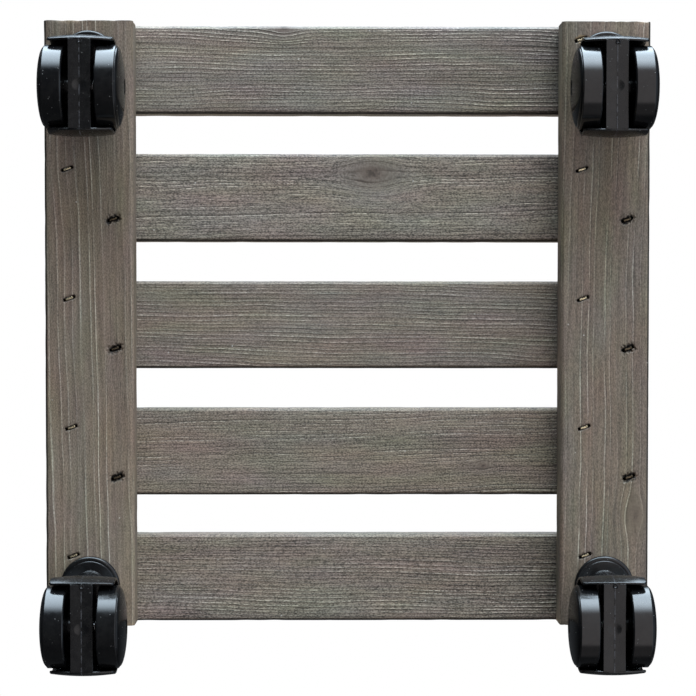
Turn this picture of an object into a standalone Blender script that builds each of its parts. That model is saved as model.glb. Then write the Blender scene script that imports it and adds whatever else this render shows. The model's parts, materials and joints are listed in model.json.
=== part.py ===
"""A plant pot caddy: five slats on two rails, standing on four twin-wheel casters.

Metres, +Z up, +X to the right. The origin is on the floor, under the middle of the whole caddy.
The deck is square, and at rest all four casters trail towards +Y, so the rear pair stands past the deck.
"""

from math import asin, cos, pi, radians, sin

import bmesh
import bpy
from mathutils import Matrix, Vector

# Fit: clear space between two pieces that touch on the real caddy.
GAP = 0.0003
# How far a cutter runs past the face it opens.
CUT_PAST = 0.001

# Deck: square, made of five slats laid across two rails.
DECK_SIZE = 0.300
BOARD_WIDTH = 0.044
RAIL_THICKNESS = 0.018
SLAT_THICKNESS = 0.014
SLAT_COUNT = 5
SLAT_PITCH = (DECK_SIZE - BOARD_WIDTH) / (SLAT_COUNT - 1)
BOARD_EDGE_RADIUS = 0.0015
BOARD_EDGE_STEPS = 3
RAIL_X = (DECK_SIZE - BOARD_WIDTH) / 2

# Caster: a 40 mm twin wheel on a grip-ring stem. Heights are above the floor.
WHEEL_RADIUS = 0.020
CASTER_TRAIL = 0.0163
CASTER_FROM_RAIL_END = 0.020
RAIL_BOTTOM = 0.049
RAIL_TOP = RAIL_BOTTOM + RAIL_THICKNESS
SLAT_BOTTOM = RAIL_TOP + GAP
WHEEL_STEPS = 24
ROUND_STEPS = 20
SMALL_STEPS = 14

# Hood and web, the moulded body between and over the two wheels.
HOOD_RADIUS = 0.0243
HOOD_WALL = 0.002
HOOD_WIDTH = 0.0314
HOOD_LEAD = 0.0005
HOOD_EDGE_RADIUS = 0.0012
HOOD_ARC_STEPS = 16
LIP_HEIGHT = 0.0094
WEB_WIDTH = 0.0108
NECK_RADIUS = 0.0072
NECK_FLOOR = 0.002

# Wheel: hub, recessed inner side, tread and domed outer face. Distances across are from the web's middle.
WHEEL_INNER_FACE = 0.0078
WHEEL_OUTER_FACE = 0.0207
WHEEL_SHOULDER = 0.0174
HUB_RADIUS = 0.0048
HUB_FACE = WEB_WIDTH / 2 + GAP
RIM_INNER_RADIUS = 0.0166
WHEEL_DISC = 0.0140
DOME_STEPS = 3
TREAD_BEVEL = 0.0007

# Axle, with a groove for the snap rib inside each hub.
AXLE_RADIUS = 0.0025
AXLE_HALF_LENGTH = 0.0168
AXLE_CHAMFER = 0.0005
AXLE_GROOVE_DEPTH = 0.0006
SNAP_ACROSS = 0.0120
SNAP_HALF_WIDTH = 0.0004

# Socket: a flanged cup pressed into the rail, reaching into the slat above.
FLANGE_RADIUS = 0.0148
FLANGE_THICKNESS = 0.0018
FLANGE_EDGE = 0.0005
BOSS_RADIUS = 0.0077
BOSS_HEIGHT = 0.0008
SOCKET_RADIUS = 0.0054
SOCKET_DEPTH = 0.0266
SOCKET_END_WALL = 0.0012
SOCKET_CHAMFER = 0.0006
SOCKET_BORE_RADIUS = 0.0044

# Stem and its spring ring, which snaps into a groove inside the socket.
STEM_RADIUS = 0.0040
STEM_BOTTOM = 0.0293
STEM_CHAMFER = 0.0010
RING_HEIGHT = 0.0668
RING_HALF_HEIGHT = 0.0009
RING_INNER_RADIUS = 0.0034
RING_OUTER_RADIUS = 0.00455
RING_OPENING = radians(40)

# Staples, two at each crossing of a slat and a rail, driven up from below.
STAPLE_CROWN = 0.0058
STAPLE_LEG = 0.0280
STAPLE_WIRE = 0.0009
STAPLE_WIRE_WIDTH = 0.0012
STAPLE_CORNER = 0.0007
STAPLE_SINK = 0.0002
STAPLE_TURN = radians(-20)
STAPLE_PAIR_HALF_X = 0.0113
STAPLE_A_Y = -0.0129
STAPLE_B_Y = 0.0119
STAPLE_LINE_DRIFT = 0.0008
STAPLE_LINE_SHIFT = {"left": 0.0013, "right": 0.0002}

# The whole caddy is centred on its overall length, casters included.
REAR_REACH = DECK_SIZE / 2 - CASTER_FROM_RAIL_END + CASTER_TRAIL - HOOD_LEAD + HOOD_RADIUS
DECK_Y = (DECK_SIZE / 2 - REAR_REACH) / 2

SIDES = {"left": -RAIL_X, "right": RAIL_X}
CASTER_Y = {
    "front": DECK_Y - DECK_SIZE / 2 + CASTER_FROM_RAIL_END,
    "rear": DECK_Y + DECK_SIZE / 2 - CASTER_FROM_RAIL_END,
}


def clear_scene():
    for obj in list(bpy.data.objects):
        bpy.data.objects.remove(obj)


def finish(name, colour, roughness, metallic=0.0):
    """A Principled material of one colour."""
    material = bpy.data.materials.new(name)
    material.use_nodes = True
    shader = material.node_tree.nodes["Principled BSDF"]
    shader.inputs["Base Color"].default_value = (*colour, 1.0)
    shader.inputs["Roughness"].default_value = roughness
    shader.inputs["Metallic"].default_value = metallic
    material.diffuse_color = (*colour, 1.0)
    return material


def mesh_from(bm, name, smooth=False):
    """The finished mesh of bm, with its faces pointing out."""
    bmesh.ops.recalc_face_normals(bm, faces=bm.faces)
    mesh = bpy.data.meshes.new(name)
    bm.to_mesh(mesh)
    bm.free()
    if smooth:
        mesh.shade_smooth()
        mesh.set_sharp_from_angle(angle=radians(35))
    return mesh


def add_object(name, mesh, material, location=(0, 0, 0), turn=0.0, parent=None):
    obj = bpy.data.objects.new(name, mesh)
    obj.location = location
    obj.rotation_euler.z = turn
    obj.parent = parent
    if material and not mesh.materials:
        mesh.materials.append(material)
    bpy.context.scene.collection.objects.link(obj)
    return obj


def add_empty(name, location):
    empty = bpy.data.objects.new(name, None)
    empty.location = location
    empty.empty_display_size = 0.01
    bpy.context.scene.collection.objects.link(empty)
    return empty


def arc(centre, radius, start, end, steps):
    """Points on an arc in a plane, both ends included."""
    angles = [start + (end - start) * i / steps for i in range(steps + 1)]
    return [(centre[0] + radius * cos(a), centre[1] + radius * sin(a)) for a in angles]


def prism(outline, half_width, to_3d):
    """A bmesh of an outline extruded both ways from its own plane; to_3d turns (u, v, w) into x, y, z."""
    bm = bmesh.new()
    base = [bm.verts.new(to_3d(u, v, -half_width)) for u, v in outline]
    face = bm.faces.new(base)
    pulled = bmesh.ops.extrude_face_region(bm, geom=[face])["geom"]
    shift = Vector(to_3d(0, 0, half_width)) - Vector(to_3d(0, 0, -half_width))
    bmesh.ops.translate(bm, vec=shift, verts=[v for v in pulled if isinstance(v, bmesh.types.BMVert)])
    return bm


def turned(profile, steps, axis="Z"):
    """A bmesh turned from a closed profile of (radius, height) points, about Z or about X."""
    bm = bmesh.new()
    points = [bm.verts.new((radius, 0, height)) for radius, height in profile]
    edges = [bm.edges.new(pair) for pair in zip(points, points[1:] + points[:1])]
    bmesh.ops.spin(bm, geom=points + edges, axis=(0, 0, 1), cent=(0, 0, 0), steps=steps, angle=2 * pi)
    bmesh.ops.remove_doubles(bm, verts=bm.verts, dist=1e-6)
    loose = [edge for edge in bm.edges if not edge.link_faces]
    bmesh.ops.delete(bm, geom=loose, context="EDGES")
    if axis == "X":
        bmesh.ops.rotate(bm, verts=bm.verts, cent=(0, 0, 0), matrix=Matrix.Rotation(pi / 2, 3, "Y"))
    return bm


def add_boolean(obj, cutter, operation="DIFFERENCE"):
    modifier = obj.modifiers.new(operation.lower(), "BOOLEAN")
    modifier.operation = operation
    modifier.object = cutter
    modifier.solver = "EXACT"


def as_cutter(obj):
    obj.hide_render = True
    obj.display_type = "WIRE"
    return obj


# Deck


def board_outline(thickness):
    """A board's cross-section, with its long edges eased."""
    half_width = BOARD_WIDTH / 2 - BOARD_EDGE_RADIUS
    half_height = thickness / 2 - BOARD_EDGE_RADIUS
    corners = [(1, 1, 0), (-1, 1, 1), (-1, -1, 2), (1, -1, 3)]
    outline = []
    for side, up, quarter in corners:
        centre = (side * half_width, up * half_height)
        start = quarter * pi / 2
        outline += arc(centre, BOARD_EDGE_RADIUS, start, start + pi / 2, BOARD_EDGE_STEPS)
    return outline


def rail_mesh():
    outline = board_outline(RAIL_THICKNESS)
    return mesh_from(prism(outline, DECK_SIZE / 2, lambda u, v, w: (u, w, v)), "rail")


def slat_mesh():
    outline = board_outline(SLAT_THICKNESS)
    return mesh_from(prism(outline, DECK_SIZE / 2, lambda u, v, w: (w, u, v)), "slat")


def slat_y(index):
    return DECK_Y - DECK_SIZE / 2 + BOARD_WIDTH / 2 + index * SLAT_PITCH


def add_deck(cutters):
    """The two rails and the five slats, bored for the sockets and the staples."""
    pine = finish("stained_pine", (0.17, 0.15, 0.13), 0.75)
    slat_stain = finish("stained_pine_slat", (0.19, 0.17, 0.14), 0.75)
    for side, x in SIDES.items():
        height = RAIL_BOTTOM + RAIL_THICKNESS / 2
        rail = add_object(f"rail_{side}", rail_mesh(), pine, (x, DECK_Y, height))
        for cutter in cutters[side]:
            add_boolean(rail, cutter)
    for index in range(SLAT_COUNT):
        height = SLAT_BOTTOM + SLAT_THICKNESS / 2
        slat = add_object(f"slat_{index + 1}", slat_mesh(), slat_stain, (0, slat_y(index), height))
        for cutter in cutters["left"] + cutters["right"]:
            if crosses(cutter, slat_y(index)):
                add_boolean(slat, cutter)


def crosses(cutter, y):
    """True when a cutter stands under the slat whose middle is at y."""
    return abs(cutter.location.y - y) < BOARD_WIDTH / 2


# Staples


def staple_outline(half_crown, leg, wire, corner, mouth):
    """A staple seen from the front: legs up, crown down. Mouth opens the crown downwards in a cutter."""
    points = [(-half_crown, leg)]
    if mouth:
        points += [(-half_crown, -mouth), (half_crown, -mouth)]
    else:
        points += arc((corner - half_crown, corner), corner, pi, 1.5 * pi, 2)
        points += arc((half_crown - corner, corner), corner, 1.5 * pi, 2 * pi, 2)
    points += [(half_crown, leg), (half_crown - wire, leg - wire)]
    points += [(half_crown - wire, wire), (wire - half_crown, wire), (wire - half_crown, leg - wire)]
    return points


def upright(u, v, w):
    """Outline across X and up Z, thickness along Y."""
    return (u, w, v)


def staple_mesh():
    outline = staple_outline(STAPLE_CROWN / 2, STAPLE_LEG, STAPLE_WIRE, STAPLE_CORNER, 0)
    return mesh_from(prism(outline, STAPLE_WIRE_WIDTH / 2, upright), "staple")


def staple_channel_mesh():
    """The staple's shape with a gap all round, open below the rail."""
    outline = staple_outline(
        STAPLE_CROWN / 2 + GAP, STAPLE_LEG + 2 * GAP, STAPLE_WIRE + 2 * GAP, 0, STAPLE_SINK + CUT_PAST
    )
    return mesh_from(prism(outline, STAPLE_WIRE_WIDTH / 2 + GAP, upright), "staple_channel")


def staple_places(side):
    """(name, x, y) of the ten staples in one rail. Their line runs slightly askew to the rail."""
    places = []
    for index in range(SLAT_COUNT):
        drift = STAPLE_LINE_SHIFT[side] + STAPLE_LINE_DRIFT * (index - SLAT_COUNT // 2)
        x = SIDES[side] + drift
        y = slat_y(index)
        places.append((f"staple_{side}_{index + 1}_a", x - STAPLE_PAIR_HALF_X, y + STAPLE_A_Y))
        places.append((f"staple_{side}_{index + 1}_b", x + STAPLE_PAIR_HALF_X, y + STAPLE_B_Y))
    return places


def add_staples():
    """All the staples. Returns the channels they need, by rail."""
    yellow_zinc = finish("brassed_wire", (0.55, 0.38, 0.16), 0.35, metallic=1.0)
    mesh, channel_mesh = staple_mesh(), staple_channel_mesh()
    channels = {side: [] for side in SIDES}
    for side in SIDES:
        for name, x, y in staple_places(side):
            place = (x, y, RAIL_BOTTOM + STAPLE_SINK)
            add_object(name, mesh, yellow_zinc, place, STAPLE_TURN)
            channel = add_object(f"{name}_channel", channel_mesh, None, place, STAPLE_TURN)
            channels[side].append(as_cutter(channel))
    return channels


# Casters. Each is drawn round its stem, with the floor at height 0.

FLANGE_TOP = RAIL_BOTTOM - GAP
FLANGE_BOTTOM = FLANGE_TOP - FLANGE_THICKNESS
BOSS_BOTTOM = FLANGE_BOTTOM - BOSS_HEIGHT
NECK_TOP = BOSS_BOTTOM - GAP
SOCKET_TOP = RAIL_BOTTOM + SOCKET_DEPTH
SOCKET_BORE_TOP = SOCKET_TOP - SOCKET_END_WALL
STEM_TOP = SOCKET_BORE_TOP - 2 * GAP
HOOD_CENTRE = (CASTER_TRAIL - HOOD_LEAD, WHEEL_RADIUS)


def socket_mesh():
    groove = RING_OUTER_RADIUS + GAP
    groove_bottom = RING_HEIGHT - RING_HALF_HEIGHT - GAP
    groove_top = RING_HEIGHT + RING_HALF_HEIGHT + GAP
    profile = [
        (SOCKET_BORE_RADIUS, BOSS_BOTTOM),
        (BOSS_RADIUS, BOSS_BOTTOM),
        (BOSS_RADIUS, FLANGE_BOTTOM),
        (FLANGE_RADIUS - FLANGE_EDGE, FLANGE_BOTTOM),
        (FLANGE_RADIUS, FLANGE_BOTTOM + FLANGE_EDGE),
        (FLANGE_RADIUS, FLANGE_TOP),
        (SOCKET_RADIUS, FLANGE_TOP),
        (SOCKET_RADIUS, SOCKET_TOP - SOCKET_CHAMFER),
        (SOCKET_RADIUS - SOCKET_CHAMFER, SOCKET_TOP),
        (0, SOCKET_TOP),
        (0, SOCKET_BORE_TOP),
        (SOCKET_BORE_RADIUS, SOCKET_BORE_TOP),
        (SOCKET_BORE_RADIUS, groove_top),
        (groove, groove_top),
        (groove, groove_bottom),
        (SOCKET_BORE_RADIUS, groove_bottom),
    ]
    return mesh_from(turned(profile, ROUND_STEPS), "socket", smooth=True)


def socket_hole_mesh():
    """The bore in the rail and the slat, open below the rail."""
    radius = SOCKET_RADIUS + GAP
    bottom = RAIL_BOTTOM - CUT_PAST
    profile = [(0, bottom), (radius, bottom), (radius, SOCKET_TOP + GAP), (0, SOCKET_TOP + GAP)]
    return mesh_from(turned(profile, ROUND_STEPS), "socket_hole")


def stem_mesh():
    groove = RING_INNER_RADIUS - GAP
    groove_bottom = RING_HEIGHT - RING_HALF_HEIGHT - GAP
    groove_top = RING_HEIGHT + RING_HALF_HEIGHT + GAP
    profile = [
        (0, STEM_BOTTOM),
        (STEM_RADIUS, STEM_BOTTOM),
        (STEM_RADIUS, groove_bottom),
        (groove, groove_bottom),
        (groove, groove_top),
        (STEM_RADIUS, groove_top),
        (STEM_RADIUS, STEM_TOP - STEM_CHAMFER),
        (STEM_RADIUS - STEM_CHAMFER, STEM_TOP),
        (0, STEM_TOP),
    ]
    return mesh_from(turned(profile, SMALL_STEPS), "stem", smooth=True)


def ring_mesh():
    """A split spring ring."""
    bm = bmesh.new()
    section = [
        (RING_INNER_RADIUS, RING_HEIGHT - RING_HALF_HEIGHT),
        (RING_OUTER_RADIUS, RING_HEIGHT - RING_HALF_HEIGHT),
        (RING_OUTER_RADIUS, RING_HEIGHT + RING_HALF_HEIGHT),
        (RING_INNER_RADIUS, RING_HEIGHT + RING_HALF_HEIGHT),
    ]
    start = bm.faces.new([bm.verts.new((radius, 0, height)) for radius, height in section])
    sweep = 2 * pi - RING_OPENING
    bmesh.ops.spin(
        bm, geom=[start], axis=(0, 0, 1), cent=(0, 0, 0), steps=SMALL_STEPS, angle=sweep
    )
    return mesh_from(bm, "ring", smooth=True)


def hood_mesh():
    """The arch over both wheels, its two lips reaching below the axle."""
    lip_angle = asin((WHEEL_RADIUS - LIP_HEIGHT) / HOOD_RADIUS)
    outer = arc(HOOD_CENTRE, HOOD_RADIUS, -lip_angle, pi + lip_angle, HOOD_ARC_STEPS)
    inner = arc(HOOD_CENTRE, HOOD_RADIUS - HOOD_WALL, pi + lip_angle, -lip_angle, HOOD_ARC_STEPS)
    bm = prism(outer + inner, HOOD_WIDTH / 2, lambda u, v, w: (w, u, v))
    centre = Vector((0, *HOOD_CENTRE))
    crown = [
        edge
        for edge in bm.edges
        if len({round(v.co.x, 6) for v in edge.verts}) == 1
        and min((Vector((0, v.co.y, v.co.z)) - centre).length for v in edge.verts)
        > HOOD_RADIUS - HOOD_WALL / 2
    ]
    bmesh.ops.bevel(
        bm, geom=crown, offset=HOOD_EDGE_RADIUS, offset_type="OFFSET", segments=2, profile=0.5,
        affect="EDGES",
    )
    return mesh_from(bm, "hood", smooth=True)


def web_mesh():
    """The plate between the wheels. Its rim ends inside the hood's wall and its foot is flat."""
    radius = HOOD_RADIUS - HOOD_WALL / 2
    foot_angle = asin((WHEEL_RADIUS - LIP_HEIGHT) / radius)
    outline = arc(HOOD_CENTRE, radius, -foot_angle, pi + foot_angle, HOOD_ARC_STEPS)
    return mesh_from(prism(outline, WEB_WIDTH / 2, lambda u, v, w: (w, u, v)), "web")


def cylinder_mesh(name, radius, bottom, top, axis="Z"):
    profile = [(0, bottom), (radius, bottom), (radius, top), (0, top)]
    return mesh_from(turned(profile, ROUND_STEPS, axis), name)


def add_caster_body(name, plastic, pivot):
    """Hood, web and neck in one moulding, bored for the stem and the axle."""
    body = add_object(f"{name}_body", hood_mesh(), plastic, parent=pivot)
    neck = cylinder_mesh("neck", NECK_RADIUS, STEM_BOTTOM - NECK_FLOOR, NECK_TOP)
    stem_bore = cylinder_mesh("stem_bore", STEM_RADIUS + GAP, STEM_BOTTOM - GAP, NECK_TOP + CUT_PAST)
    axle_bore = cylinder_mesh("axle_bore", AXLE_RADIUS + GAP, -WEB_WIDTH, WEB_WIDTH, "X")
    at_stem, at_axle = (0, 0, 0), (0, CASTER_TRAIL, WHEEL_RADIUS)
    pieces = [
        ("web", web_mesh(), at_stem, "UNION"),
        ("neck", neck, at_stem, "UNION"),
        ("stem_bore", stem_bore, at_stem, "DIFFERENCE"),
        ("axle_bore", axle_bore, at_axle, "DIFFERENCE"),
    ]
    for label, mesh, place, operation in pieces:
        helper = as_cutter(add_object(f"{name}_{label}", mesh, None, place, parent=pivot))
        add_boolean(body, helper, operation)


def axle_mesh():
    groove = AXLE_RADIUS - AXLE_GROOVE_DEPTH
    near, far = SNAP_ACROSS - SNAP_HALF_WIDTH - GAP, SNAP_ACROSS + SNAP_HALF_WIDTH + GAP
    half = [
        (AXLE_RADIUS, near),
        (groove, near),
        (groove, far),
        (AXLE_RADIUS, far),
        (AXLE_RADIUS, AXLE_HALF_LENGTH - AXLE_CHAMFER),
        (AXLE_RADIUS - AXLE_CHAMFER, AXLE_HALF_LENGTH),
        (0, AXLE_HALF_LENGTH),
    ]
    other_half = [(radius, -across) for radius, across in reversed(half)]
    return mesh_from(turned(other_half + half, SMALL_STEPS, "X"), "axle", smooth=True)


def wheel_mesh():
    """One wheel, turned about X, its domed face towards +X and its hub towards the web."""
    bore = AXLE_RADIUS + GAP
    snap = AXLE_RADIUS - AXLE_GROOVE_DEPTH + GAP
    bore_end = AXLE_HALF_LENGTH + GAP
    face_radius = WHEEL_RADIUS - TREAD_BEVEL
    profile = [
        (bore, HUB_FACE),
        (HUB_RADIUS, HUB_FACE),
        (HUB_RADIUS, WHEEL_DISC),
        (RIM_INNER_RADIUS, WHEEL_DISC),
        (RIM_INNER_RADIUS, WHEEL_INNER_FACE),
        (face_radius, WHEEL_INNER_FACE),
        (WHEEL_RADIUS, WHEEL_INNER_FACE + TREAD_BEVEL),
        (WHEEL_RADIUS, WHEEL_SHOULDER - TREAD_BEVEL),
    ]
    for step in range(DOME_STEPS + 1):
        radius = face_radius * cos(step * pi / 2 / DOME_STEPS)
        across = WHEEL_SHOULDER + (WHEEL_OUTER_FACE - WHEEL_SHOULDER) * sin(step * pi / 2 / DOME_STEPS)
        profile.append((radius if step < DOME_STEPS else 0, across))
    profile += [
        (0, bore_end),
        (bore, bore_end),
        (bore, SNAP_ACROSS + SNAP_HALF_WIDTH),
        (snap, SNAP_ACROSS + SNAP_HALF_WIDTH),
        (snap, SNAP_ACROSS - SNAP_HALF_WIDTH),
        (bore, SNAP_ACROSS - SNAP_HALF_WIDTH),
    ]
    return mesh_from(turned(profile, WHEEL_STEPS, "X"), "wheel", smooth=True)


def add_casters():
    """The four casters. Returns the bores that their sockets need, by rail."""
    plastics = {
        "socket": finish("black_flange", (0.012, 0.013, 0.015), 0.35),
        "body": finish("black_moulding", (0.016, 0.016, 0.018), 0.45),
        "wheel": finish("black_wheel", (0.010, 0.011, 0.013), 0.25),
    }
    steels = {
        "stem": finish("zinc_plated_stem", (0.62, 0.62, 0.60), 0.30, metallic=1.0),
        "ring": finish("spring_steel", (0.35, 0.35, 0.36), 0.35, metallic=1.0),
        "axle": finish("bright_steel_axle", (0.66, 0.66, 0.67), 0.25, metallic=1.0),
    }
    socket, hole, stem, ring = socket_mesh(), socket_hole_mesh(), stem_mesh(), ring_mesh()
    axle, wheel = axle_mesh(), wheel_mesh()
    axle_place = (0, CASTER_TRAIL, WHEEL_RADIUS)
    holes = {side: [] for side in SIDES}
    for end, y in CASTER_Y.items():
        for side, x in SIDES.items():
            name = f"caster_{end}_{side}"
            add_object(f"{name}_socket", socket, plastics["socket"], (x, y, 0))
            holes[side].append(as_cutter(add_object(f"{name}_hole", hole, None, (x, y, 0))))
            pivot = add_empty(f"{name}_swivel", (x, y, 0))
            add_object(f"{name}_stem", stem, steels["stem"], parent=pivot)
            add_object(f"{name}_ring", ring, steels["ring"], parent=pivot)
            add_caster_body(name, plastics["body"], pivot)
            add_object(f"{name}_axle", axle, steels["axle"], axle_place, parent=pivot)
            add_object(f"{name}_wheel_left", wheel, plastics["wheel"], axle_place, pi, pivot)
            add_object(f"{name}_wheel_right", wheel, plastics["wheel"], axle_place, 0, pivot)
    return holes


def main():
    clear_scene()
    channels = add_staples()
    holes = add_casters()
    add_deck({side: channels[side] + holes[side] for side in SIDES})


main()
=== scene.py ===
"""Looks of the plant pot caddy: stained pine boards, sunk staples and black twin-wheel casters.

Metres, +Z up. Boards, staples, sockets, caster bodies and wheels are built again here as finer meshes, in
the places that the frame gives. The stems, rings and axles inside the casters keep the frame's meshes.
"""

import json
from math import asin, cos, exp, hypot, pi, radians, sin, sqrt, tan

import bmesh
import bpy
from mathutils import Matrix, Vector, noise

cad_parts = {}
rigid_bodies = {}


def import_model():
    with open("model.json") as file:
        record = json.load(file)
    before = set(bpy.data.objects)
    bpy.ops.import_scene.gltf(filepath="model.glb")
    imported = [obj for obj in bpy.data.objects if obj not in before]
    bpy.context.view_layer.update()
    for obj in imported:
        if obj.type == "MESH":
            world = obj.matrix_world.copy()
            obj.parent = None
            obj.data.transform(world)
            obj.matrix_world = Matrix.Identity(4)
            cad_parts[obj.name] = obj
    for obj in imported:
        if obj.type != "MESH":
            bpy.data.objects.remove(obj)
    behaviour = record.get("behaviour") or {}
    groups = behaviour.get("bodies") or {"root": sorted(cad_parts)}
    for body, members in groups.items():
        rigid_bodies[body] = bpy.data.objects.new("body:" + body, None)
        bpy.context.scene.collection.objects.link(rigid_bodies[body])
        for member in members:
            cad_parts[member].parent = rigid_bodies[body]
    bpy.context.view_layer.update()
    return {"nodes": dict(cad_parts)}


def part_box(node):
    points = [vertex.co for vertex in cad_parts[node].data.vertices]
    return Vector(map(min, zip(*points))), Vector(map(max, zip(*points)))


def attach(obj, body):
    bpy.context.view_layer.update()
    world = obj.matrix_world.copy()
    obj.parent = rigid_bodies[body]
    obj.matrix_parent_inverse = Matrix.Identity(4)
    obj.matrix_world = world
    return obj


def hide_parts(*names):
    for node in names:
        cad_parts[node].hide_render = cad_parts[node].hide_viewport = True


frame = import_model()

MM = 0.001
SLATS = [f"slat_{number}" for number in range(1, 6)]
RAILS = ["rail_left", "rail_right"]
CASTERS = [f"caster_{end}_{side}" for end in ("front", "rear") for side in ("left", "right")]


def middle(node):
    low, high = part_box(node)
    return (low + high) / 2


def span(node):
    low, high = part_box(node)
    return high - low


DECK = (middle("rail_left") + middle("rail_right")) / 2
RAIL_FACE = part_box("rail_left")[0].z


# Meshes


def mesh_from(bm, name):
    bmesh.ops.recalc_face_normals(bm, faces=bm.faces)
    mesh = bpy.data.meshes.new(name)
    bm.to_mesh(mesh)
    bm.free()
    return mesh


def shade(mesh, angle=35):
    """Smooth shading that stops at corners."""
    mesh.shade_smooth()
    mesh.set_sharp_from_angle(angle=radians(angle))


def smooth(mesh):
    """The mesh with smooth shading that stops at corners and keeps large flat faces flat."""
    shade(mesh)
    obj = add_object("normal_blank", mesh)
    modifier = obj.modifiers.new("normals", "WEIGHTED_NORMAL")
    modifier.keep_sharp = True
    return applied(obj)


def add_object(name, mesh, location=(0, 0, 0), turn=0.0):
    obj = bpy.data.objects.new(name, mesh)
    obj.location = location
    obj.rotation_euler.z = turn
    bpy.context.scene.collection.objects.link(obj)
    return obj


def eased(corners, steps=4):
    """A closed outline from (u, v, radius) corners, each rounded to its radius."""
    outline = []
    for index, (u, v, radius) in enumerate(corners):
        corner = Vector((u, v))
        before = (Vector(corners[index - 1][:2]) - corner).normalized()
        after = (Vector(corners[(index + 1) % len(corners)][:2]) - corner).normalized()
        half = before.angle(after) / 2 if radius else 0
        if not radius or half > radians(89):
            outline.append((u, v))
            continue
        centre = corner + (before + after).normalized() * radius / sin(half)
        start = corner + before * radius / tan(half) - centre
        end = corner + after * radius / tan(half) - centre
        for step in range(steps + 1):
            arm = start.lerp(end, step / steps).normalized() * radius
            outline.append(tuple(centre + arm))
    return outline


def arc(centre, radius, start, end, steps):
    angles = [start + (end - start) * i / steps for i in range(steps + 1)]
    return [(centre[0] + radius * cos(a), centre[1] + radius * sin(a)) for a in angles]


def bridge(bm, rings):
    """Side faces between each ring of points and the next."""
    for near, far in zip(rings, rings[1:]):
        for index in range(len(near)):
            after = (index + 1) % len(near)
            bm.faces.new((near[index], near[after], far[after], far[index]))


def prism(outline, low, high, to_3d):
    """An outline extruded from w = low to w = high; to_3d turns (u, v, w) into x, y, z."""
    bm = bmesh.new()
    near = [bm.verts.new(to_3d(u, v, low)) for u, v in outline]
    far = [bm.verts.new(to_3d(u, v, high)) for u, v in outline]
    bm.faces.new(near)
    bm.faces.new(far)
    bridge(bm, [near, far])
    return bm


def turned(profile, steps, axis="Z"):
    """A solid turned from a closed profile of (radius, height) points."""
    bm = bmesh.new()
    points = [bm.verts.new((radius, 0, height)) for radius, height in profile]
    edges = [bm.edges.new(pair) for pair in zip(points, points[1:] + points[:1])]
    bmesh.ops.spin(bm, geom=points + edges, axis=(0, 0, 1), cent=(0, 0, 0), steps=steps, angle=2 * pi)
    bmesh.ops.remove_doubles(bm, verts=bm.verts, dist=1e-6)
    loose = [edge for edge in bm.edges if not edge.link_faces]
    bmesh.ops.delete(bm, geom=loose, context="EDGES")
    if axis == "X":
        bmesh.ops.rotate(bm, verts=bm.verts, cent=(0, 0, 0), matrix=Matrix.Rotation(pi / 2, 3, "Y"))
    return bm


def combined(base, others, operation):
    """The mesh of base after a Boolean with each of the other meshes, all in the same place."""
    body = add_object("body_blank", base)
    helpers = []
    for mesh in others:
        helper = add_object("helper", mesh)
        helpers.append(helper)
        modifier = body.modifiers.new("cut", "BOOLEAN")
        modifier.operation = operation
        modifier.object = helper
        modifier.solver = "EXACT"
    return applied(body, helpers)


def applied(obj, helpers=()):
    """The mesh of obj with its modifiers applied. Removes obj and its helpers."""
    bpy.context.view_layer.update()
    graph = bpy.context.evaluated_depsgraph_get()
    mesh = bpy.data.meshes.new_from_object(obj.evaluated_get(graph))
    for spent in [obj, *helpers]:
        bpy.data.objects.remove(spent)
    return mesh


def joined(meshes):
    """One mesh that holds copies of several separate ones. Each item is (mesh, matrix)."""
    bm = bmesh.new()
    for mesh, matrix in meshes:
        copy = mesh.copy()
        copy.transform(matrix)
        bm.from_mesh(copy)
        bpy.data.meshes.remove(copy)
    return mesh_from(bm, "joined")


def bevelled(mesh, width, segments):
    """The mesh with its sharp corners rounded off."""
    obj = add_object("bevel_blank", mesh)
    modifier = obj.modifiers.new("bevel", "BEVEL")
    modifier.width = width
    modifier.segments = segments
    modifier.limit_method = "ANGLE"
    modifier.angle_limit = radians(60)
    return applied(obj)


def add_piece(name, mesh, node, body, material, location=(0, 0, 0), turn=0.0):
    """A visible piece that stands for a CAD node and rides on its body."""
    if material and not mesh.materials:
        mesh.materials.append(material)
    obj = add_object(name, mesh, location, turn)
    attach(obj, body)
    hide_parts(node)
    return obj


# Materials


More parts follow.
